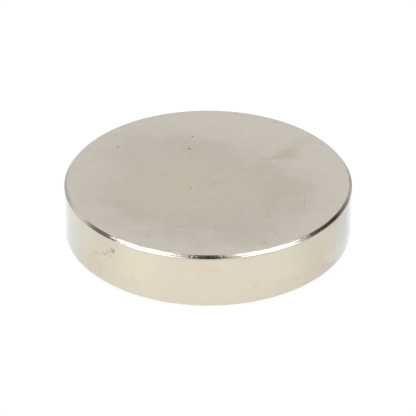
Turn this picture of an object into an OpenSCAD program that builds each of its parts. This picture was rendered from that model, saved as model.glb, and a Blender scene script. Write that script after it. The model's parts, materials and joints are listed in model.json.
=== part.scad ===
// Disc magnet: one sintered disc, ground flat on both faces, bevelled at both
// edges and plated all over. The origin is the centre of the lower face, with
// +Z up along the disc's axis. All sizes are in millimetres.

/* [Disc] */
// Outer diameter, over the plating
disc_d = 50; // [20:0.5:80]
// Thickness between the two flat faces
disc_h = 10; // [4:0.5:20]

/* [Edges] */
// Width and height of the 45 degree bevel at the upper and the lower edge
bevel = 0.5; // [0.3:0.05:1.5]
// Radius left by tumbling and plating where a bevel meets a face or the rim
corner_r = 0.12; // [0.06:0.02:0.3]

/* [Hidden] */
plating = [0.78, 0.75, 0.68];
disc_r = disc_d / 2;
// From a corner of the bevel to where its rounding begins, along either side
round_run = corner_r * tan(22.5);
// The same run seen along the bevel, as its share in each direction
bevel_run = round_run * sin(45);
// The part of the section that holds one edge reaches this far in from the rim
edge_w = bevel + 2 * corner_r;
$fn = 180;

// Half of the section near the rim, from the lower face up to mid height.
// Its own origin is the sharp corner that the bevel takes away.
module edge_section() {
    polygon([
        [-edge_w, 0],
        [-bevel - round_run, 0],
        [-bevel + bevel_run, bevel_run],
        [-bevel_run, bevel - bevel_run],
        [0, bevel + round_run],
        [0, disc_h / 2],
        [-edge_w, disc_h / 2]
    ]);
    translate([-bevel - round_run, corner_r])
        circle(r = corner_r);
    translate([-corner_r, bevel + round_run])
        circle(r = corner_r);
}

// The section from the axis out to the rim
module section() {
    square([disc_r - edge_w, disc_h]);
    translate([disc_r, 0])
        edge_section();
    translate([disc_r, disc_h])
        mirror([0, 1])
            edge_section();
}

// The magnet is the section turned once round its axis
module disc_magnet() {
    color(plating)
        rotate_extrude()
            section();
}

disc_magnet();
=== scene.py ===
# Disc magnet, nickel plated, lying on a white table under two round softboxes
import json
import math

import bmesh
import bpy
from mathutils import Matrix, Vector


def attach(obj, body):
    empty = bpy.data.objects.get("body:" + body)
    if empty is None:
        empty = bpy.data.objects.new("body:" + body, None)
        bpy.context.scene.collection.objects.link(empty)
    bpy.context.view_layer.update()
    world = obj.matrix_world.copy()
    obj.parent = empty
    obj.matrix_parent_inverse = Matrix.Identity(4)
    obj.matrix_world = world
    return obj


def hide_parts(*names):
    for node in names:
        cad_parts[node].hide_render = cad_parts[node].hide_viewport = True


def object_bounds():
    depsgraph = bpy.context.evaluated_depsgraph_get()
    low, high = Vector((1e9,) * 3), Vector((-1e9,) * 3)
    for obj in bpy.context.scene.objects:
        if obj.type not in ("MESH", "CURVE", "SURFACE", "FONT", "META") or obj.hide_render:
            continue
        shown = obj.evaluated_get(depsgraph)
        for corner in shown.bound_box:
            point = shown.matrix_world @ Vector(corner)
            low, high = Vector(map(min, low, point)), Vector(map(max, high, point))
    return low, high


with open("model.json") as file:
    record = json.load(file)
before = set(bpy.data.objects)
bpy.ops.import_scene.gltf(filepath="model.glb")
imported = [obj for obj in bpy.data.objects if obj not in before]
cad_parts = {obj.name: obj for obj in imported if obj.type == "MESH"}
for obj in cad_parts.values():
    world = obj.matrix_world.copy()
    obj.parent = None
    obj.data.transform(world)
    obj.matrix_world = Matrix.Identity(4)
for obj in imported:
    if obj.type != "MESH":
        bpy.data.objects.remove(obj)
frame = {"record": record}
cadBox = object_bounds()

mm = 0.001
cadLow, cadHigh = cadBox
rimMount = next(m for m in frame["record"]["mounts"] if m["name"] == "rim")
discRadius = rimMount["dims"]["r_mm"] * mm
discHeight = cadHigh.z - cadLow.z
topZ = cadHigh.z
print("frame loaded: disc radius", discRadius, "height", discHeight)


# Small helpers for edit mode

sameHeight = 0.001 * mm  # an edge whose ends differ by less than this lies level


def startFresh():
    if bpy.context.object and bpy.context.object.mode != "OBJECT":
        bpy.ops.object.mode_set(mode="OBJECT")
    bpy.ops.object.select_all(action="DESELECT")


def makeActive(piece):
    startFresh()
    piece.select_set(True)
    bpy.context.view_layer.objects.active = piece


def pick(piece, kind, test):
    # selects the edges or faces of the piece in edit mode that pass the test
    bpy.ops.mesh.select_mode(type="EDGE" if kind == "edges" else "FACE")
    bpy.ops.mesh.select_all(action="DESELECT")
    shape = bmesh.from_edit_mesh(piece.data)
    parts = shape.edges if kind == "edges" else shape.faces
    for part in parts:
        if test(part):
            part.select_set(True)
    shape.select_flush_mode()
    bmesh.update_edit_mesh(piece.data)


def heightChange(edge):
    return abs(edge.verts[0].co.z - edge.verts[1].co.z)


def level(edge):
    # an edge that runs round the disc at one height
    return heightChange(edge) < sameHeight


def tall(edge):
    return heightChange(edge) > discHeight / 2


def turnedTo(way, turn=0):
    # points an object's Z axis this way, after a turn round that axis in degrees
    return way.to_track_quat("Z", "Y") @ Matrix.Rotation(math.radians(turn), 3, "Z").to_quaternion()


# The wear that the disc carries, with painted highlights and painted shade at the ding and the long
# scratch. Places and half sizes in mm, turns in degrees.
# A mark with a depth is also cut into the metal, and each tint multiplies the plating's colour.

faceMarks = {
    "darkPit": {
        "at": (-3.34, 10.61), "size": (0.23, 0.23), "turn": 20, "depth": 0.12,
        "soft": 0.7, "tint": (0.32, 0.29, 0.22)},
    "blackDot": {
        "at": (-2.82, 14.97), "size": (0.22, 0.13), "turn": 90, "depth": 0.08,
        "soft": 0.7, "tint": (0.33, 0.30, 0.25)},
    "leftNick": {
        "at": (-16.05, 11.29), "size": (0.52, 0.18), "turn": 90, "depth": 0.04,
        "soft": 0.8, "tint": (0.74, 0.72, 0.71)},
    "rustDot": {
        "at": (12.0, 20.18), "size": (0.30, 0.34), "turn": 0, "depth": 0.03,
        "soft": 0.8, "tint": (0.87, 0.78, 0.68)},
    "ding": {
        "at": (-2.70, -3.20), "size": (0.40, 0.26), "turn": 20, "depth": 0.015,
        "soft": 0.5, "tint": (0.98, 0.98, 0.97)},
    # painted shade on one side of the ding
    "dingShade": {
        "at": (-2.98, -3.12), "size": (0.16, 0.26), "turn": 0, "depth": 0,
        "soft": 0.7, "tint": (0.68, 0.66, 0.63)},
    # a painted highlight on the ding's other side
    "dingGlint": {
        "at": (-2.56, -3.26), "size": (0.24, 0.36), "turn": 0, "depth": 0,
        "soft": 0.7, "tint": (1.13, 1.14, 1.15)},
    # painted shade along the ding's lower lip
    "dingLipShade": {
        "at": (-2.30, -3.75), "size": (0.34, 0.18), "turn": 20, "depth": 0,
        "soft": 0.8, "tint": (0.93, 0.92, 0.90)},
    "rightDot": {
        "at": (10.2, -12.1), "size": (0.42, 0.55), "turn": 0, "depth": 0.015,
        "soft": 0.9, "tint": (0.92, 0.90, 0.84)},
    "lowRightDot": {
        "at": (11.4, -17.4), "size": (0.24, 0.34), "turn": 0, "depth": 0.015,
        "soft": 0.8, "tint": (0.88, 0.88, 0.86)},
    "lowDot": {
        "at": (1.2, -15.7), "size": (0.34, 0.32), "turn": 0, "depth": 0.02,
        "soft": 0.8, "tint": (0.92, 0.89, 0.88)},
    "orangeStreakA": {
        "at": (3.45, -4.45), "size": (0.90, 0.18), "turn": 0, "depth": 0,
        "soft": 0.8, "tint": (1.02, 0.92, 0.87)},
    "orangeStreakB": {
        "at": (3.40, -5.35), "size": (0.80, 0.18), "turn": 0, "depth": 0,
        "soft": 0.8, "tint": (0.97, 0.89, 0.84)},
    "longScratch": {
        "at": (16.75, -5.3), "size": (4.2, 0.13), "turn": 85.5, "depth": 0.006,
        "soft": 0.7, "tint": (0.965, 0.955, 0.95)},
    "longScratchEnd": {
        "at": (16.5, -7.4), "size": (1.5, 0.16), "turn": 86, "depth": 0,
        "soft": 0.8, "tint": (0.94, 0.90, 0.87)},
    # a painted highlight along the long scratch
    "scratchGlint": {
        "at": (17.0, -5.6), "size": (4.0, 0.12), "turn": 85.5, "depth": 0,
        "soft": 0.8, "tint": (1.05, 1.05, 1.06)},
    "thinScratch": {
        "at": (1.30, -1.50), "size": (2.9, 0.13), "turn": 18, "depth": 0,
        "soft": 0.8, "tint": (0.90, 0.89, 0.86)},
    "shortScratch": {
        "at": (1.65, -0.05), "size": (1.6, 0.11), "turn": 28, "depth": 0,
        "soft": 0.8, "tint": (0.93, 0.92, 0.90)},
    "hairScratchA": {
        "at": (2.9, -1.0), "size": (1.5, 0.10), "turn": 8, "depth": 0,
        "soft": 0.8, "tint": (0.93, 0.92, 0.90)},
    "brownSpeck": {
        "at": (-4.3, 13.1), "size": (0.45, 0.35), "turn": 0, "depth": 0,
        "soft": 0.8, "tint": (0.95, 0.935, 0.885)},
    "pitHalo": {
        "at": (-3.6, 11.2), "size": (1.3, 1.6), "turn": 0, "depth": 0,
        "soft": 0.8, "tint": (0.985, 0.980, 0.955)},
    "lowSmearA": {
        "at": (9.3, -20.7), "size": (0.9, 0.35), "turn": 5, "depth": 0,
        "soft": 0.8, "tint": (0.93, 0.91, 0.90)},
    "lowSmearB": {
        "at": (-5.2, -15.8), "size": (1.3, 0.35), "turn": 12, "depth": 0,
        "soft": 0.8, "tint": (0.94, 0.93, 0.92)},
    "lowPatchA": {
        "at": (-10.2, -18.4), "size": (0.8, 0.8), "turn": 0, "depth": 0,
        "soft": 0.8, "tint": (0.96, 0.93, 0.90)},
    "lowPatchB": {
        "at": (-12.6, -17.4), "size": (0.9, 0.6), "turn": 0, "depth": 0,
        "soft": 0.8, "tint": (0.95, 0.95, 0.93)},
}

wallMarks = {
    "darkStroke": {
        "around": -39.4, "height": 7.45, "size": (0.26, 0.56), "lean": -30, "depth": 0.03,
        "soft": 0.6, "tint": (0.53, 0.49, 0.53)},
    "strokeHook": {
        "around": -40.6, "height": 7.7, "size": (0.30, 0.34), "lean": 0, "depth": 0,
        "soft": 0.8, "tint": (0.86, 0.84, 0.88)},
    "greySmudge": {
        "around": -41.0, "height": 7.25, "size": (0.30, 0.40), "lean": 10, "depth": 0,
        "soft": 0.8, "tint": (0.84, 0.83, 0.84)},
    "greyCloud": {
        "around": -42.7, "height": 6.85, "size": (0.40, 0.34), "lean": 0, "depth": 0,
        "soft": 0.8, "tint": (0.84, 0.83, 0.83)},
    "trailNear": {
        "around": -41.4, "height": 6.12, "size": (0.38, 0.18), "lean": 10, "depth": 0.01,
        "soft": 0.8, "tint": (0.84, 0.83, 0.78)},
    "trailDark": {
        "around": -44.1, "height": 6.08, "size": (0.42, 0.22), "lean": 24, "depth": 0.015,
        "soft": 0.8, "tint": (0.76, 0.75, 0.72)},
    "trailMiddle": {
        "around": -45.8, "height": 5.75, "size": (0.70, 0.22), "lean": 16, "depth": 0,
        "soft": 0.8, "tint": (0.95, 0.95, 0.94)},
    "trailFar": {
        "around": -49.3, "height": 5.20, "size": (0.85, 0.28), "lean": 12, "depth": 0,
        "soft": 0.8, "tint": (0.92, 0.92, 0.90)},
    "lowSmear": {
        "around": -47.0, "height": 3.0, "size": (0.9, 0.5), "lean": 0, "depth": 0,
        "soft": 0.9, "tint": (0.96, 0.96, 0.95)},
    "blushLeft": {
        "around": -30.0, "height": 3.3, "size": (0.6, 0.8), "lean": 0, "depth": 0,
        "soft": 0.8, "tint": (0.995, 0.945, 0.935)},
    "blushCentre": {
        "around": 1.0, "height": 7.7, "size": (1.5, 0.6), "lean": 0, "depth": 0,
        "soft": 0.8, "tint": (1.0, 0.955, 0.945)},
    "blushHigh": {
        "around": -15.0, "height": 7.6, "size": (2.4, 1.3), "lean": 0, "depth": 0,
        "soft": 0.9, "tint": (1.0, 0.975, 0.97)},
    "blushRightA": {
        "around": 18.5, "height": 3.2, "size": (0.8, 1.0), "lean": 0, "depth": 0,
        "soft": 0.9, "tint": (1.0, 0.97, 0.96)},
    "blushRightB": {
        "around": 30.0, "height": 3.0, "size": (1.6, 0.6), "lean": -10, "depth": 0,
        "soft": 0.9, "tint": (1.0, 0.955, 0.94)},
    "blushRightC": {
        "around": 36.8, "height": 2.4, "size": (0.6, 0.6), "lean": 0, "depth": 0,
        "soft": 0.9, "tint": (0.99, 0.955, 0.95)},
    "greyHaze": {
        "around": 38.0, "height": 7.4, "size": (1.6, 1.0), "lean": 0, "depth": 0,
        "soft": 0.9, "tint": (0.985, 0.985, 1.0)},
}


def outward(around):
    # the wall's outward direction; 0 degrees faces the camera, 90 the right
    a = math.radians(around)
    return Vector((math.sin(a), -math.cos(a), 0))


# The disc itself

disc = {
    "segments": 960,
    "bevel": 0.5 * mm,  # width of the 45 degree bevel, along the face
    "bevelSegments": 8,
    "bevelProfile": 0.25,  # straight across
    "bevelBulge": 0.022 * mm,  # the bevel is a little fuller than flat
    "bevelMargin": 0.04 * mm,  # the bulge and the waves stop this far before the bevel's sides
    "cornerRadius": 0.12 * mm,  # what tumbling leaves where the bevel ends
    "cornerSegments": 3,
    "cornerProfile": 0.5,  # a round arc
    "cornerAngle": 15,  # an edge sharper than this is one of those corners
    "wallRings": 9,
    "capRing": 0.6 * mm,  # a ring of faces that keeps the flat's edge true
    "waveHeight": 0.04 * mm,  # uneven plating along the bevels
    "waveSize": 3.0 * mm,
    "waveDepth": 3,
    "dentSegments": 20,
    "dentRings": 32,
    "flatMargin": 0.02 * mm,  # a face this far inside the bevel is part of the flat
    "smoothAngle": 30,
}


def dentCutter(place, normal, mark):
    # a ball that dips below the surface just far enough to leave this dent
    halfLength, halfWidth = (side * mm for side in mark["size"])
    depth = mark["depth"] * mm
    ball = (halfWidth ** 2 + depth ** 2) / (2 * depth)
    turn = mark["turn"] if "turn" in mark else mark["lean"]
    bpy.ops.mesh.primitive_uv_sphere_add(
        segments=disc["dentSegments"], ring_count=disc["dentRings"], radius=ball,
        location=place + normal * (ball - depth),
        rotation=turnedTo(normal, turn).to_euler(), scale=(halfLength / halfWidth, 1, 1))
    return bpy.context.object


def makeDisc():
    startFresh()
    bpy.ops.mesh.primitive_cylinder_add(
        vertices=disc["segments"], radius=discRadius, depth=discHeight,
        end_fill_type="NGON", location=(0, 0, cadLow.z + discHeight / 2))
    piece = bpy.context.object
    piece.name = "magnet_body"
    bpy.ops.object.transform_apply(location=True, rotation=True, scale=True)
    bpy.ops.object.mode_set(mode="EDIT")

    # bevel both rims
    pick(piece, "edges", level)
    bpy.ops.mesh.bevel(
        offset_type="OFFSET", offset=disc["bevel"], segments=disc["bevelSegments"],
        profile=disc["bevelProfile"], affect="EDGES", clamp_overlap=False)

    # round the corners that are left, where the surface turns by 45 degrees
    sharp = math.radians(disc["cornerAngle"])
    halfTurn = math.radians(45 / 2)
    pick(piece, "edges", lambda edge: level(edge) and edge.calc_face_angle(0) > sharp)
    bpy.ops.mesh.bevel(
        offset_type="OFFSET", offset=disc["cornerRadius"] * math.tan(halfTurn),
        segments=disc["cornerSegments"], profile=disc["cornerProfile"],
        affect="EDGES", clamp_overlap=False)

    # rings up the wall, and a narrow one inside the edge of each flat
    pick(piece, "edges", tall)
    bpy.ops.mesh.subdivide(number_cuts=disc["wallRings"])
    pick(piece, "faces", lambda face: len(face.verts) == disc["segments"])
    bpy.ops.mesh.inset(thickness=disc["capRing"], use_even_offset=True)
    bpy.ops.mesh.select_all(action="DESELECT")
    bpy.ops.object.mode_set(mode="OBJECT")
    return piece


def unevenBevels(piece):
    # tumbled and plated edges are a little full, and never quite straight
    whole = piece.vertex_groups.new(name="bevels")
    middle = piece.vertex_groups.new(name="bevelMiddles")
    width = disc["bevel"] - disc["bevelMargin"]
    for v in piece.data.vertices:
        inward = discRadius - math.hypot(v.co.x, v.co.y)
        down = min(cadHigh.z - v.co.z, v.co.z - cadLow.z)
        if inward < width and down < width:
            across = (inward - down) / disc["bevel"]  # 0 half way, 1 and -1 at the bevel's sides
            whole.add([v.index], 1.0, "REPLACE")
            middle.add([v.index], 1 - min(1, across * across), "REPLACE")
    bulge = piece.modifiers.new("fullBevels", "DISPLACE")
    bulge.vertex_group = "bevelMiddles"
    bulge.strength = disc["bevelBulge"]
    bulge.mid_level = 0.0
    bpy.ops.object.modifier_apply(modifier=bulge.name)
    wave = bpy.data.textures.new("bevelWave", type="CLOUDS")
    wave.noise_scale = disc["waveSize"]
    wave.noise_depth = disc["waveDepth"]
    push = piece.modifiers.new("unevenBevels", "DISPLACE")
    push.texture = wave
    push.texture_coords = "LOCAL"
    push.vertex_group = "bevels"
    push.strength = disc["waveHeight"]
    push.mid_level = 1.0  # only ever inwards
    bpy.ops.object.modifier_apply(modifier=push.name)


def cutDents(piece):
    cutters = []
    up = Vector((0, 0, 1))
    for mark in faceMarks.values():
        if mark["depth"]:
            x, y = mark["at"]
            cutters.append(dentCutter(Vector((x * mm, y * mm, topZ)), up, mark))
    for mark in wallMarks.values():
        if mark["depth"]:
            normal = outward(mark["around"])
            place = normal * discRadius + up * (cadLow.z + mark["height"] * mm)
            cutters.append(dentCutter(place, normal, mark))
    startFresh()
    for cutter in cutters:
        cutter.select_set(True)
    bpy.context.view_layer.objects.active = cutters[0]
    bpy.ops.object.join()
    cutter = bpy.context.object
    makeActive(piece)
    cut = piece.modifiers.new("dents", "BOOLEAN")
    cut.operation = "DIFFERENCE"
    cut.solver = "EXACT"
    cut.object = cutter
    bpy.ops.object.modifier_apply(modifier=cut.name)
    bpy.data.objects.remove(cutter)


def smoothDisc(piece):
    makeActive(piece)
    bpy.ops.object.shade_smooth_by_angle(angle=math.radians(disc["smoothAngle"]))
    weigh = piece.modifiers.new("keepFlats", "WEIGHTED_NORMAL")
    weigh.keep_sharp = True
    bpy.ops.object.modifier_apply(modifier=weigh.name)


# Finishes. Each surface has its plating colour, its lowest and highest roughness, and fine
# uneven colour: speckles as a size in mm and a tint. Grains are in mm across, depths in mm.

finish = {
    "speckleRange": (0.35, 0.65),  # the part of the noise over which a speckle's tint comes in
    "roughnessRange": (0.3, 0.7),
    "satin": {
        "plate": (0.728, 0.704, 0.654), "roughness": (0.295, 0.305), "roughnessGrain": 1.5,
        "bumpGrain": 0.35, "bumpDepth": 0.002,
        "upperBlotch": (2.6, (0.988, 0.990, 0.960)), "lowerBlotch": (5.0, (0.975, 0.970, 0.955)),
        "speckles": (
            (2.1, (0.995, 0.976, 0.985)), (0.85, (0.992, 0.988, 0.942)),
            (0.65, (0.990, 0.968, 0.980)), (0.28, (0.982, 0.980, 0.958)))},
    "wall": {
        "plate": (0.722, 0.675, 0.565), "roughness": (0.14, 0.18), "roughnessGrain": 1.5,
        "bumpGrain": 1.2, "bumpDepth": 0.002, "waver": {"size": 0.6, "amount": 1.2, "detail": 3.0},
        "speckles": (
            (4.0, (0.990, 0.992, 0.980)), (2.0, (1.000, 0.985, 0.990)),
            (1.0, (0.996, 0.994, 0.976)), (0.8, (1.000, 0.985, 0.992)),
            (0.35, (0.995, 0.990, 0.985)))},
    "bevel": {
        "plate": (0.722, 0.68, 0.59), "roughness": (0.08, 0.13), "roughnessGrain": 0.8,
        "bumpGrain": 0.6, "bumpDepth": 0.011,
        "lineStretch": (0.4, 0.4, 8.0), "lineGrain": 1.0, "lineDepth": 0.010,
        "speckles": ((1.0, (0.97, 0.965, 0.96)), (0.3, (0.95, 0.95, 0.95)))},
}


def newFinish(name):
    material = bpy.data.materials.new(name)
    material.use_nodes = True
    tree = material.node_tree
    shader = tree.nodes["Principled BSDF"]
    shader.inputs["Metallic"].default_value = 1.0
    return material, tree, shader


def coordsInMm(tree, stretch=(1, 1, 1)):
    # the piece's own coordinates, in millimetres
    place = tree.nodes.new("ShaderNodeTexCoord")
    scale = tree.nodes.new("ShaderNodeMapping")
    scale.inputs["Scale"].default_value = [s / mm for s in stretch]
    tree.links.new(place.outputs["Object"], scale.inputs["Vector"])
    return scale.outputs["Vector"]


def grain(tree, coords, size, detail=2.0, output="Fac"):
    # soft noise whose blotches are about this many mm across
    noise = tree.nodes.new("ShaderNodeTexNoise")
    noise.inputs["Scale"].default_value = 1 / size
    noise.inputs["Detail"].default_value = detail
    tree.links.new(coords, noise.inputs["Vector"])
    return noise.outputs[output]


def remap(tree, value, low, high, outLow=0.0, outHigh=1.0):
    ramp = tree.nodes.new("ShaderNodeMapRange")
    ramp.interpolation_type = "SMOOTHSTEP"
    ramp.inputs["From Min"].default_value = low
    ramp.inputs["From Max"].default_value = high
    ramp.inputs["To Min"].default_value = outLow
    ramp.inputs["To Max"].default_value = outHigh
    tree.links.new(value, ramp.inputs["Value"])
    return ramp.outputs["Result"]


def vectorStep(tree, operation, first, second=None, amount=None):
    step = tree.nodes.new("ShaderNodeVectorMath")
    step.operation = operation
    tree.links.new(first, step.inputs[0])
    if isinstance(second, tuple):
        step.inputs[1].default_value = second
    elif second is not None:
        tree.links.new(second, step.inputs[1])
    if amount is not None:
        step.inputs["Scale"].default_value = amount
    return step.outputs["Value" if operation in ("LENGTH", "DOT_PRODUCT") else "Vector"]


def mathStep(tree, operation, first, second):
    step = tree.nodes.new("ShaderNodeMath")
    step.operation = operation
    for socket, value in ((step.inputs[0], first), (step.inputs[1], second)):
        if isinstance(value, (int, float)):
            socket.default_value = value
        else:
            tree.links.new(value, socket)
    return step.outputs["Value"]


def waver(tree, coords, wave):
    # shifts the coordinates about, so that what is drawn on them gets a ragged outline
    noise = grain(tree, coords, wave["size"], wave["detail"], "Color")
    push = vectorStep(tree, "SUBTRACT", noise, (0.5, 0.5, 0.5))
    return vectorStep(tree, "ADD", coords, vectorStep(tree, "SCALE", push, amount=wave["amount"]))


def mixColour(tree, amount, first, second, blend="MIX"):
    # in a Mix node for colours, input 0 is the amount, 6 and 7 the colours, and output 2 the result
    mix = tree.nodes.new("ShaderNodeMix")
    mix.data_type = "RGBA"
    mix.blend_type = blend
    tree.links.new(amount, mix.inputs[0])
    for socket, colour in ((mix.inputs[6], first), (mix.inputs[7], second)):
        if isinstance(colour, tuple):
            socket.default_value = (*colour, 1)
        else:
            tree.links.new(colour, socket)
    return mix.outputs[2]


def tinted(tree, colour, amount, tint):
    return mixColour(tree, amount, colour, tint, "MULTIPLY")


def bumpFrom(tree, height, depth, under=None):
    bump = tree.nodes.new("ShaderNodeBump")
    bump.inputs["Distance"].default_value = depth
    bump.inputs["Strength"].default_value = 1.0
    tree.links.new(height, bump.inputs["Height"])
    if under is not None:
        tree.links.new(under, bump.inputs["Normal"])
    return bump.outputs["Normal"]


def patchMask(tree, coords, place, size, soft, turn=(0, 0, 0)):
    # 1 inside an oval of these half sizes, fading to 0 outside it
    lay = tree.nodes.new("ShaderNodeMapping")
    lay.vector_type = "TEXTURE"
    lay.inputs["Location"].default_value = place
    lay.inputs["Rotation"].default_value = [math.radians(a) for a in turn]
    lay.inputs["Scale"].default_value = size
    tree.links.new(coords, lay.inputs["Vector"])
    far = vectorStep(tree, "LENGTH", lay.outputs["Vector"])
    return remap(tree, far, 1 - soft, 1 + soft, 1.0, 0.0)


# how far into the metal the ovals reach, in mm, so that a dent is coloured down to its bottom
ovalReach = {"face": 5, "wall": 2}


def facePatch(tree, coords, patch):
    place = (*patch["at"], topZ / mm)
    size = (*patch["size"], ovalReach["face"])
    return patchMask(tree, coords, place, size, patch["soft"], (0, 0, patch["turn"]))


def wallPatch(tree, coords, patch):
    middle = outward(patch["around"]) * (discRadius / mm)
    place = (middle.x, middle.y, patch["height"])
    halfLength, halfWidth = patch["size"]
    size = (halfLength, ovalReach["wall"], halfWidth)
    return patchMask(tree, coords, place, size, patch["soft"], (0, -patch["lean"], patch["around"]))


def stained(tree, colour, coords, patches, maskOf):
    # lays every patch over the colour
    for patch in patches.values():
        colour = tinted(tree, colour, maskOf(tree, coords, patch), patch["tint"])
    return colour


def mottled(tree, colour, coords, speckles):
    # fine uneven colour: each speckle size has its own tint
    for size, tint in speckles:
        amount = remap(tree, grain(tree, coords, size), *finish["speckleRange"])
        colour = tinted(tree, colour, amount, tint)
    return colour


def addGrain(tree, shader, coords, surface, under=None):
    # roughness that wanders between the surface's two values; returns the normal of a fine bump
    rough = grain(tree, coords, surface["roughnessGrain"])
    rough = remap(tree, rough, *finish["roughnessRange"], *surface["roughness"])
    tree.links.new(rough, shader.inputs["Roughness"])
    fine = grain(tree, coords, surface["bumpGrain"])
    return bumpFrom(tree, fine, surface["bumpDepth"] * mm, under)


# Tarnish on the upper face, as large soft patches with ragged edges. The film is all of its
# own patches together, the stains lie over it, and the brown smudge over them.

tarnish = {
    "filmTint": (0.925, 0.916, 0.905),
    "waver": {"size": 7.0, "amount": 10.0, "detail": 3.0},
    "fineWaver": {"size": 1.6, "amount": 3.0, "detail": 2.0},
    "smudgeWaver": {"size": 1.2, "amount": 2.5, "detail": 3.0},
}
filmPatches = {
    "middle": {"at": (-1.0, -4.5), "size": (19.0, 13.5), "turn": 0, "soft": 0.26},
    "upperLeft": {"at": (-5.5, 6.5), "size": (13.5, 10.5), "turn": -20, "soft": 0.34},
    "lower": {"at": (2.0, -14.0), "size": (12.0, 7.0), "turn": 0, "soft": 0.34},
}
stains = {
    "olive": {
        "at": (0.0, -3.5), "size": (15.0, 9.0), "turn": 0,
        "soft": 0.35, "tint": (0.990, 0.985, 0.940)},
    "paleMiddle": {
        "at": (-3.5, -3.0), "size": (11.0, 7.0), "turn": 0,
        "soft": 0.6, "tint": (1.028, 1.026, 1.012)},
    "darkLeftRim": {
        "at": (-13.0, -9.5), "size": (5.0, 2.2), "turn": -25,
        "soft": 0.6, "tint": (0.965, 0.962, 0.940)},
    "darkRight": {
        "at": (12.5, -5.5), "size": (4.0, 6.5), "turn": 10,
        "soft": 0.6, "tint": (0.960, 0.955, 0.935)},
    "darkTop": {
        "at": (0.5, 10.0), "size": (7.0, 4.0), "turn": -20,
        "soft": 0.8, "tint": (0.980, 0.973, 0.962)},
    "darkBottom": {
        "at": (2.0, -15.0), "size": (9.0, 2.6), "turn": 0,
        "soft": 0.7, "tint": (0.975, 0.965, 0.970)},
    "bridge": {
        "at": (7.6, 6.4), "size": (4.6, 3.2), "turn": -30,
        "soft": 0.7, "tint": (0.968, 0.972, 0.970)},
    "pinkLeft": {
        "at": (-20.0, 8.0), "size": (6.0, 11.0), "turn": -20,
        "soft": 0.7, "tint": (1.015, 1.000, 1.005)},
    "coolRight": {
        "at": (20.0, 4.0), "size": (6.0, 13.0), "turn": 0,
        "soft": 0.7, "tint": (1.012, 1.022, 1.037)},
    "coolBack": {
        "at": (4.0, 21.0), "size": (17.0, 7.5), "turn": -8,
        "soft": 0.7, "tint": (1.018, 1.024, 1.030)},
}
smudges = {
    "low": {
        "at": (12.9, 7.5), "size": (3.4, 0.95), "turn": 10,
        "soft": 0.4, "tint": (0.935, 0.912, 0.870)},
    "side": {
        "at": (15.2, 8.9), "size": (1.5, 1.5), "turn": 0,
        "soft": 0.5, "tint": (0.955, 0.940, 0.915)},
    "high": {
        "at": (15.2, 11.4), "size": (3.6, 1.3), "turn": 52,
        "soft": 0.7, "tint": (0.950, 0.935, 0.900)},
    "core": {
        "at": (13.4, 9.3), "size": (1.5, 0.9), "turn": 30,
        "soft": 0.8, "tint": (0.930, 0.927, 0.905)},
}


def upperFaceFinish():
    satin = finish["satin"]
    material, tree, shader = newFinish("tarnished_nickel_face")
    coords = coordsInMm(tree)
    ragged = waver(tree, coords, tarnish["waver"])
    ragged = waver(tree, ragged, tarnish["fineWaver"])
    slight = waver(tree, coords, tarnish["smudgeWaver"])
    film = None
    for patch in filmPatches.values():
        mask = facePatch(tree, ragged, patch)
        film = mask if film is None else mathStep(tree, "MAXIMUM", film, mask)
    colour = tinted(tree, satin["plate"], film, tarnish["filmTint"])
    colour = stained(tree, colour, ragged, stains, facePatch)
    colour = stained(tree, colour, slight, smudges, facePatch)
    colour = mottled(tree, colour, coords, (satin["upperBlotch"], *satin["speckles"]))
    colour = stained(tree, colour, coords, faceMarks, facePatch)
    tree.links.new(colour, shader.inputs["Base Color"])
    tree.links.new(addGrain(tree, shader, coords, satin), shader.inputs["Normal"])
    return material


def lowerFaceFinish():
    satin = finish["satin"]
    material, tree, shader = newFinish("satin_nickel_underside")
    coords = coordsInMm(tree)
    colour = mottled(tree, satin["plate"], coords, (satin["lowerBlotch"], *satin["speckles"]))
    tree.links.new(colour, shader.inputs["Base Color"])
    tree.links.new(addGrain(tree, shader, coords, satin), shader.inputs["Normal"])
    return material


def wallFinish():
    wall = finish["wall"]
    material, tree, shader = newFinish("smooth_nickel_wall")
    coords = coordsInMm(tree)
    colour = mottled(tree, wall["plate"], coords, wall["speckles"])
    colour = stained(tree, colour, waver(tree, coords, wall["waver"]), wallMarks, wallPatch)
    tree.links.new(colour, shader.inputs["Base Color"])
    tree.links.new(addGrain(tree, shader, coords, wall), shader.inputs["Normal"])
    return material


# Tiny nicks and burrs on the upper bevel: place round the disc in degrees, radius and rise in mm
bevelNicks = {
    "leftBurr": {
        "around": -5.7, "size": 0.18, "rise": 0.009, "soft": 0.7, "tint": (1.0, 1.0, 1.0)},
    "leftPit": {
        "around": -6.7, "size": 0.16, "rise": -0.008, "soft": 0.7, "tint": (0.8, 0.8, 0.8)},
    "rightPit": {
        "around": 5.9, "size": 0.24, "rise": -0.004, "soft": 0.7, "tint": (0.42, 0.41, 0.40)},
    "rightBurr": {
        "around": 7.6, "size": 0.16, "rise": 0.007, "soft": 0.7, "tint": (1.0, 1.0, 1.0)},
}


def nickMask(tree, coords, nick):
    # half way down the bevel
    inward = disc["bevel"] / 2
    middle = outward(nick["around"]) * (discRadius - inward) / mm
    place = (middle.x, middle.y, (topZ - inward) / mm)
    return patchMask(tree, coords, place, (nick["size"],) * 3, nick["soft"])


def bevelFinish():
    bevel = finish["bevel"]
    material, tree, shader = newFinish("bright_nickel_bevel")
    coords = coordsInMm(tree)
    colour = mottled(tree, bevel["plate"], coords, bevel["speckles"])
    colour = stained(tree, colour, coords, bevelNicks, nickMask)
    tree.links.new(colour, shader.inputs["Base Color"])

    # fine lines that run round the disc, under a pebbly unevenness, and the nicks on top
    lines = grain(tree, coordsInMm(tree, bevel["lineStretch"]), bevel["lineGrain"])
    normal = bumpFrom(tree, lines, bevel["lineDepth"] * mm)
    normal = addGrain(tree, shader, coords, bevel, normal)
    for nick in bevelNicks.values():
        normal = bumpFrom(tree, nickMask(tree, coords, nick), nick["rise"] * mm, normal)
    tree.links.new(normal, shader.inputs["Normal"])
    return material


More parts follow.
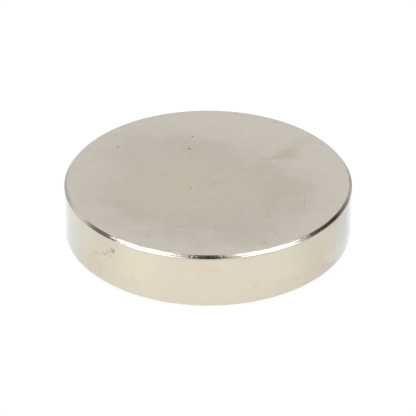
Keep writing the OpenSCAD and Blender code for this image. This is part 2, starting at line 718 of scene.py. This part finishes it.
def paintDisc(piece):
    upper, lower, wall, bevel = range(4)
    piece.data.materials.clear()
    for material in (upperFaceFinish(), lowerFaceFinish(), wallFinish(), bevelFinish()):
        piece.data.materials.append(material)
    flatEdge = discRadius - disc["bevel"] - disc["flatMargin"]
    wallLow = cadLow.z + disc["bevel"]
    wallHigh = cadHigh.z - disc["bevel"]
    middle = (wallLow + wallHigh) / 2
    for face in piece.data.polygons:
        height = face.center.z
        out = math.hypot(face.center.x, face.center.y)
        if out < flatEdge:
            face.material_index = upper if height > middle else lower
        else:
            face.material_index = wall if wallLow < height < wallHigh else bevel


magnetBody = makeDisc()
unevenBevels(magnetBody)
cutDents(magnetBody)
smoothDisc(magnetBody)
paintDisc(magnetBody)
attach(magnetBody, "root")
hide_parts("disc_magnet")
print("disc made:", len(magnetBody.data.polygons), "faces")


# Studio

studio = {
    "skyGrey": (0.80, 0.785, 0.765),
    "lowGrey": (0.50, 0.495, 0.49),
    "horizonGrey": (0.605, 0.605, 0.615),
    "horizonFade": (0.0, 0.16),  # sines of the elevations between which one grey becomes the next
    "skyFade": (0.17, 0.36),
    "gapTone": (0, 0, 0),  # of a patch that names no tone
    "lampDistance": 1.2,
    "lampTint": (0.93, 0.98, 1.12),
}

# Directions as seen from the disc: azimuth 0 is the photographer's side, 90 the right
softboxes = {
    "leftBox": {"azimuth": -72.5, "elevation": 59, "width": 0.88, "brightness": 2.1},
    "rightBox": {"azimuth": 67, "elevation": 57.5, "width": 0.79, "brightness": 2.1},
}
# Each patch is whole out to its core and gone at its edge, both in degrees from its middle
skyPatches = {
    "overCamera": {"azimuth": -0.5, "elevation": 59, "core": 5, "edge": 9, "depth": 0.90},
    "higherUp": {"azimuth": -6, "elevation": 74, "core": 6, "edge": 10, "depth": 0.88},
    "lowerDown": {"azimuth": -0.5, "elevation": 43, "core": 11, "edge": 18, "depth": 0.90},
    "leftGap": {"azimuth": -35, "elevation": 35, "core": 9, "edge": 17, "depth": 0.4},
    "leftLine": {"azimuth": -70, "elevation": 33, "core": 4, "edge": 9, "depth": 0.5},
    "rightGap": {"azimuth": 66, "elevation": 32, "core": 8, "edge": 15, "depth": 0.6},
    "rightSide": {
        "azimuth": 112, "elevation": 27, "core": 2, "edge": 34, "depth": 0.92,
        "tone": (0.014, 0.006, 0.0)},
    "rightUnder": {"azimuth": 80, "elevation": 20, "core": 8, "edge": 20, "depth": 0.25},
    "leftSide": {"azimuth": -96.5, "elevation": 36, "core": 3, "edge": 20, "depth": 0.72},
    "leftUnder": {"azimuth": -84, "elevation": 22, "core": 8, "edge": 20, "depth": 0.35},
    "rightRear": {
        "azimuth": 129, "elevation": 14, "core": 6, "edge": 15, "depth": 0.18,
        "tone": (0.60, 0.57, 0.53)},
    "leftRear": {
        "azimuth": -138, "elevation": 7, "core": 8, "edge": 18, "depth": 0.18,
        "tone": (0.95, 0.95, 0.95)},
    "leftBright": {
        "azimuth": -121, "elevation": 21, "core": 5, "edge": 13, "depth": 0.4,
        "tone": (1.0, 0.96, 0.88)},
    "leftBack": {
        "azimuth": -145, "elevation": 3.5, "core": 3, "edge": 9, "depth": 0.3,
        "tone": (0.545, 0.623, 0.83)},
    "rightBack": {
        "azimuth": 148, "elevation": 1, "core": 3, "edge": 8, "depth": 0.3,
        "tone": (0.80, 0.77, 0.73)},
    "rightHalo": {
        "azimuth": 87.5, "elevation": 40, "core": 1, "edge": 8, "depth": 0.35,
        "tone": (1.25, 1.2, 1.1)},
}


def direction(azimuth, elevation):
    a, e = math.radians(azimuth), math.radians(elevation)
    return Vector((math.sin(a) * math.cos(e), -math.cos(a) * math.cos(e), math.sin(e)))


def addSoftbox(name, box):
    way = direction(box["azimuth"], box["elevation"])
    bpy.ops.object.light_add(
        type="AREA", location=way * studio["lampDistance"], rotation=turnedTo(way).to_euler())
    lamp = bpy.context.object
    lamp.name = name
    lamp.data.shape = "DISK"
    lamp.data.size = box["width"]
    lamp.data.color = studio["lampTint"]
    area = math.pi * (box["width"] / 2) ** 2
    lamp.data.energy = box["brightness"] * math.pi * area


def makeSky():
    # one room for every ray: the metal shows the same walls and ceiling that the camera would see
    world = bpy.data.worlds.new("studioSky")
    bpy.context.scene.world = world
    world.use_nodes = True
    tree = world.node_tree
    place = tree.nodes.new("ShaderNodeTexCoord").outputs["Generated"]
    apart = tree.nodes.new("ShaderNodeSeparateXYZ")
    tree.links.new(place, apart.inputs["Vector"])
    high = remap(tree, apart.outputs["Z"], *studio["skyFade"])
    colour = mixColour(tree, high, studio["lowGrey"], studio["skyGrey"])
    rise = remap(tree, apart.outputs["Z"], *studio["horizonFade"])
    colour = mixColour(tree, rise, studio["horizonGrey"], colour)
    for patch in skyPatches.values():
        way = tuple(direction(patch["azimuth"], patch["elevation"]))
        edge, core = (math.cos(math.radians(patch[side])) for side in ("edge", "core"))
        closeness = vectorStep(tree, "DOT_PRODUCT", place, way)
        inside = remap(tree, closeness, edge, core, 0.0, patch["depth"])
        colour = mixColour(tree, inside, colour, patch.get("tone", studio["gapTone"]))
    tree.links.new(colour, tree.nodes["Background"].inputs["Color"])
    tree.nodes["Background"].inputs["Strength"].default_value = 1.0


# The table. The camera sees it white, and the metal sees painted light on it: a warm glow in front
# of the disc, a cool glow beside and behind it, painted shade farther off. Distances are in mm from
# the disc's axis, and each change of tone sweeps back or forward, by this much for each mm, as it
# leaves the rim.

table = {
    "size": 60.0,  # in metres
    "drop": 0.02 * mm,  # keeps it just clear of the disc's lower face
    "plain": (0.80, 0.80, 0.80),
    "seenDiffuse": (0.15, 0.15, 0.15),
    "seenGlow": (0.90, 0.90, 0.90),
    "mirroredDiffuse": (0.30, 0.30, 0.30),
    "frontGlow": (0.750, 0.745, 0.712),
    "sideGlow": (0.620, 0.620, 0.595),
    "coolGlow": (0.612, 0.655, 0.750),
    "rearGlow": (0.880, 0.905, 0.965),
    "farDiffuse": (0.44, 0.44, 0.44),
    "farGlow": (0.03, 0.03, 0.03),
    "leftFarGlow": (0.20, 0.20, 0.20),
    "leftLift": (1.08, 1.084, 1.06),
    "frontToSide": {"from": -24.6, "to": -12.4, "sweep": -0.45},
    "sideToCool": {"from": -18.0, "to": -6.6, "sweep": 0.8},
    "coolToRear": {"from": -10.6, "to": 2.1, "sweep": 2.2},
    "nearToFar": (39, 68),
    "leftSide": (-23, -3),
}
# painted shade right of the disc and a painted pool of light at its right foot, seen only in the
# metal
paintedTableLight = {
    "rightShade": {"at": (36, -1), "size": (6, 8), "soft": 0.6, "tint": (0.87, 0.87, 0.86)},
    "rightFootPaintedLight": {"at": (24.7, -7.5), "size": (1.8, 5.0), "soft": 0.6, "tint": (1.14, 1.16, 1.17)},
}


def paper(tree, tone, glow=None):
    # a matt surface, with a glow of its own where one is given
    matt = tree.nodes.new("ShaderNodeBsdfDiffuse")
    matt.inputs["Color"].default_value = (*tone, 1)
    if glow is None:
        return matt.outputs["BSDF"]
    light = tree.nodes.new("ShaderNodeEmission")
    if isinstance(glow, tuple):
        light.inputs["Color"].default_value = (*glow, 1)
    else:
        tree.links.new(glow, light.inputs["Color"])
    both = tree.nodes.new("ShaderNodeAddShader")
    tree.links.new(matt.outputs["BSDF"], both.inputs[0])
    tree.links.new(light.outputs["Emission"], both.inputs[1])
    return both.outputs["Shader"]


def choose(tree, amount, first, second):
    mix = tree.nodes.new("ShaderNodeMixShader")
    tree.links.new(amount, mix.inputs["Fac"])
    tree.links.new(first, mix.inputs[1])
    tree.links.new(second, mix.inputs[2])
    return mix.outputs["Shader"]


def tableFinish():
    material = bpy.data.materials.new("white_table")
    material.use_nodes = True
    tree = material.node_tree
    tree.nodes.remove(tree.nodes["Principled BSDF"])
    rays = tree.nodes.new("ShaderNodeLightPath").outputs
    coords = coordsInMm(tree)
    apart = tree.nodes.new("ShaderNodeSeparateXYZ")
    tree.links.new(coords, apart.inputs["Vector"])
    reach = vectorStep(tree, "LENGTH", coords)
    beyondRim = mathStep(tree, "SUBTRACT", reach, discRadius / mm)

    def past(step):
        swept = mathStep(tree, "MULTIPLY", beyondRim, step["sweep"])
        back = mathStep(tree, "SUBTRACT", apart.outputs["Y"], swept)
        return remap(tree, back, step["from"], step["to"])

    # the painted glow and painted shade that the metal sees
    glow = mixColour(tree, past(table["frontToSide"]), table["frontGlow"], table["sideGlow"])
    glow = mixColour(tree, past(table["sideToCool"]), glow, table["coolGlow"])
    left = remap(tree, apart.outputs["X"], *table["leftSide"], 1.0, 0.0)
    glow = tinted(tree, glow, left, table["leftLift"])
    glow = mixColour(tree, past(table["coolToRear"]), glow, table["rearGlow"])
    for shade in paintedTableLight.values():
        mask = patchMask(tree, coords, (*shade["at"], 0), (*shade["size"], 1), shade["soft"])
        glow = tinted(tree, glow, mask, shade["tint"])
    farGlow = mixColour(tree, left, table["farGlow"], table["leftFarGlow"])
    far = remap(tree, reach, *table["nearToFar"])
    nearPaper = paper(tree, table["mirroredDiffuse"], glow)
    farPaper = paper(tree, table["farDiffuse"], farGlow)
    mirror = choose(tree, far, nearPaper, farPaper)

    mirrored = mathStep(tree, "MAXIMUM", rays["Is Glossy Ray"], rays["Is Transmission Ray"])
    surface = choose(tree, mirrored, paper(tree, table["plain"]), mirror)
    seen = paper(tree, table["seenDiffuse"], table["seenGlow"])
    surface = choose(tree, rays["Is Camera Ray"], surface, seen)
    tree.links.new(surface, tree.nodes["Material Output"].inputs["Surface"])
    return material


def makeTable():
    startFresh()
    bpy.ops.mesh.primitive_plane_add(
        size=table["size"], location=(0, 0, cadLow.z - table["drop"]))
    top = bpy.context.object
    top.name = "table"
    top.data.materials.append(tableFinish())


makeTable()
makeSky()
for boxName, box in softboxes.items():
    addSoftbox(boxName, box)
print("studio made")


# Camera

camera = {
    "distance": 428.6 * mm,
    "elevation": 31.441,
    "roll": 0.147,
    "aim": (-0.014 * mm, 0, 4.165 * mm),
    "lens": 211.9,
    "sensor": 36,
    "nearest": 0.01,  # in metres
}


def makeCamera():
    way = direction(0, camera["elevation"])
    bpy.ops.object.camera_add(
        location=Vector(camera["aim"]) + way * camera["distance"],
        rotation=turnedTo(way, camera["roll"]).to_euler())
    view = bpy.context.object
    view.data.lens = camera["lens"]
    view.data.sensor_width = camera["sensor"]
    view.data.clip_start = camera["nearest"]
    bpy.context.scene.camera = view


makeCamera()
bpy.context.scene.view_settings.view_transform = "Standard"
